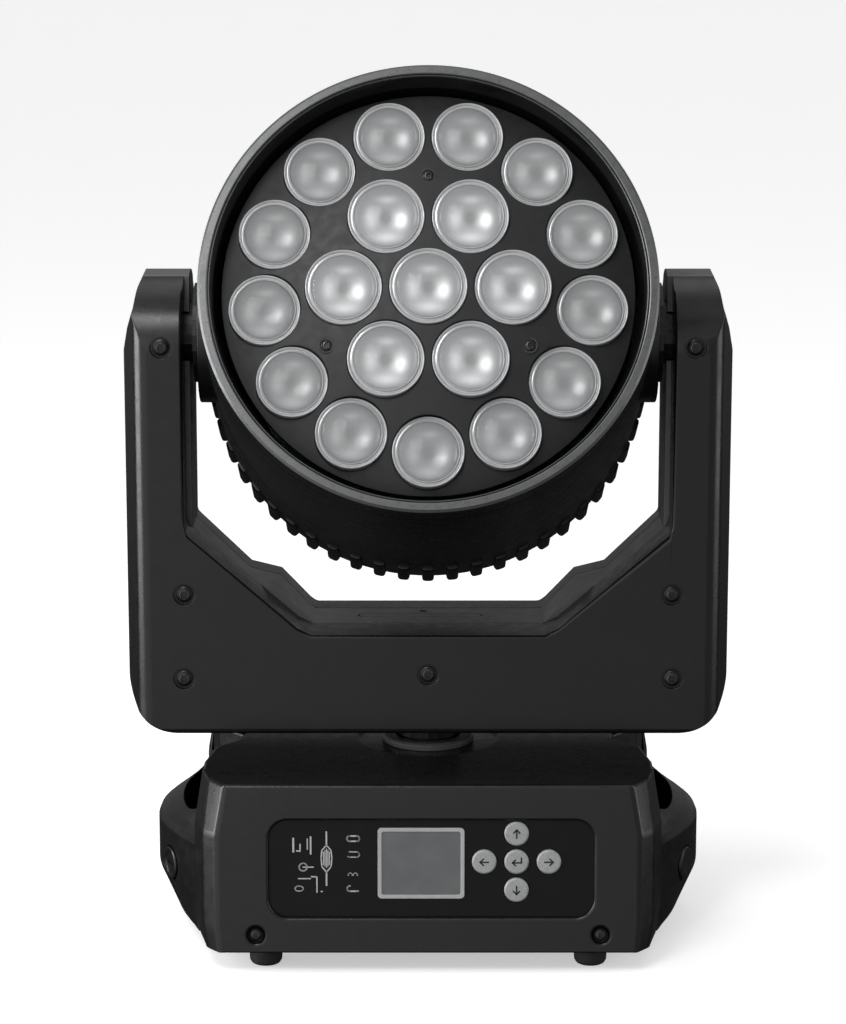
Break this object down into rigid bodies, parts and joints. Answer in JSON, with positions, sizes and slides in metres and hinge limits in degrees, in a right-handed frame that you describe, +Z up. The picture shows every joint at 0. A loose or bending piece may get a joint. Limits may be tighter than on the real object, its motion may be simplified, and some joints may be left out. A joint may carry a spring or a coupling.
{
  "type": "moving head light",
  "caption": "Moving head wash light: a base with display and keys, a U-shaped yoke that pans, and a round lens-faced head that tilts, with zooming lens plate.",
  "frame": {"origin": "on the pan axis, in the plane of the base's underside; the feet reach below it", "axes": "+Z up along the pan axis, -Y towards the control panel and the front of the light, +X to the right seen from the front"},
  "size_m": [0.39, 0.3254, 0.5695],
  "materials": {
    "casing": "fine moulded texture, satin black",
    "frame_grey": "satin dark grey paint",
    "bezel": "satin grey paint with a bright edge",
    "lens_board": "flat black",
    "lens": "clear optical plastic with a frosted back",
    "display": "blank grey display under clear film",
    "button": "light grey satin",
    "rubber": "matt black",
    "connector": "semi-gloss black moulding",
    "sheet_steel": "powder-coated sheet",
    "circuit": "green solder mask",
    "steel": "machined",
    "aluminium": "machined and extruded",
    "motor": "black motor body"
  },
  "bodies": {
    "base": {"base_chassis": "sheet_steel", "base_housing": "casing", "front_panel": "casing", "display_window": "display", "handle_left": "casing", "handle_right": "casing", "foot_front_left": "rubber", "foot_front_right": "rubber", "foot_rear_left": "rubber", "foot_rear_right": "rubber", "pan_collar": "frame_grey", "rear_panel": "sheet_steel", "power_inlet": "connector", "fuse_holder": "connector", "dmx_input": "connector", "dmx_output": "connector", "power_supply": "sheet_steel", "control_board": "circuit", "pan_motor": "motor", "pan_belt": "rubber", "pan_bearing": "steel"},
    "yoke": {"yoke_frame": "frame_grey", "yoke_front_cover": "casing", "yoke_rear_cover": "casing", "tilt_bearing_left": "steel", "tilt_bearing_right": "steel", "tilt_motor": "motor", "tilt_belt": "rubber", "pan_spindle": "steel", "pan_driven_pulley": "aluminium"},
    "head": {"front_bezel": "bezel", "head_shroud": "casing", "rear_housing": "casing", "rear_cap": "casing", "fan_grille": "steel", "heat_sink": "aluminium", "led_board": "circuit", "fan_frame": "connector", "tilt_hub_left": "steel", "tilt_hub_right": "steel", "tilt_driven_pulley": "aluminium", "zoom_actuator_1": "motor", "zoom_actuator_2": "motor", "zoom_actuator_3": "motor"},
    "zoom_carriage": {"lens_plate": "lens_board", "lens_centre": "lens", "lens_inner_ring": "lens", "lens_outer_ring": "lens", "zoom_rod_1": "steel", "zoom_rod_2": "steel", "zoom_rod_3": "steel"},
    "fan": {"fan_rotor": "connector"},
    "tilt_drive": {"tilt_motor_pulley": "aluminium"},
    "pan_drive": {"pan_motor_pulley": "aluminium"},
    "button_up": {"button_up": "button"},
    "button_left": {"button_left": "button"},
    "button_enter": {"button_enter": "button"},
    "button_right": {"button_right": "button"},
    "button_down": {"button_down": "button"},
    "power_button": {"power_button": "casing"}
  },
  "joints": [
    {"name": "head_pan", "type": "hinge", "parent": "base", "child": "yoke", "pos_m": [0, 0, 0.118], "axis": [0, 0, 1], "range_deg": [-270, 270]},
    {"name": "head_tilt", "type": "hinge", "parent": "yoke", "child": "head", "pos_m": [0, 0, 0.379], "axis": [-1, 0, 0], "range_deg": [-69.5, 200.4]},
    {"name": "zoom_slide", "type": "slide", "parent": "head", "child": "zoom_carriage", "axis": [0, -0.9095, 0.4158], "range_m": [-0.012, 0.003]},
    {"name": "fan_spin", "type": "hinge", "parent": "head", "child": "fan", "pos_m": [0, 0.08367, 0.34075], "axis": [0, -0.9095, 0.4158], "continuous": true},
    {"name": "tilt_motor_spin", "type": "hinge", "parent": "yoke", "child": "tilt_drive", "pos_m": [0.176, 0.002, 0.158], "axis": [-1, 0, 0], "continuous": true},
    {"name": "pan_motor_spin", "type": "hinge", "parent": "base", "child": "pan_drive", "pos_m": [0, 0.072, 0.07], "axis": [0, 0, 1], "continuous": true},
    {"name": "button_up_press", "type": "slide", "parent": "base", "child": "button_up", "axis": [0, 0.9973, -0.0732], "range_m": [0, 0.0012], "stiffness_N_per_m": 900},
    {"name": "button_left_press", "type": "slide", "parent": "base", "child": "button_left", "axis": [0, 0.9973, -0.0732], "range_m": [0, 0.0012], "stiffness_N_per_m": 900},
    {"name": "button_enter_press", "type": "slide", "parent": "base", "child": "button_enter", "axis": [0, 0.9973, -0.0732], "range_m": [0, 0.0012], "stiffness_N_per_m": 900},
    {"name": "button_right_press", "type": "slide", "parent": "base", "child": "button_right", "axis": [0, 0.9973, -0.0732], "range_m": [0, 0.0012], "stiffness_N_per_m": 900},
    {"name": "button_down_press", "type": "slide", "parent": "base", "child": "button_down", "axis": [0, 0.9973, -0.0732], "range_m": [0, 0.0012], "stiffness_N_per_m": 900},
    {"name": "power_button_press", "type": "slide", "parent": "base", "child": "power_button", "axis": [-0.913, 0.4081, 0], "range_m": [0, 0.002], "stiffness_N_per_m": 800}
  ],
  "couplings": [
    {"joint": "tilt_motor_spin", "follows": "head_tilt", "ratio": 3},
    {"joint": "pan_motor_spin", "follows": "head_pan", "ratio": 3.6}
  ]
}
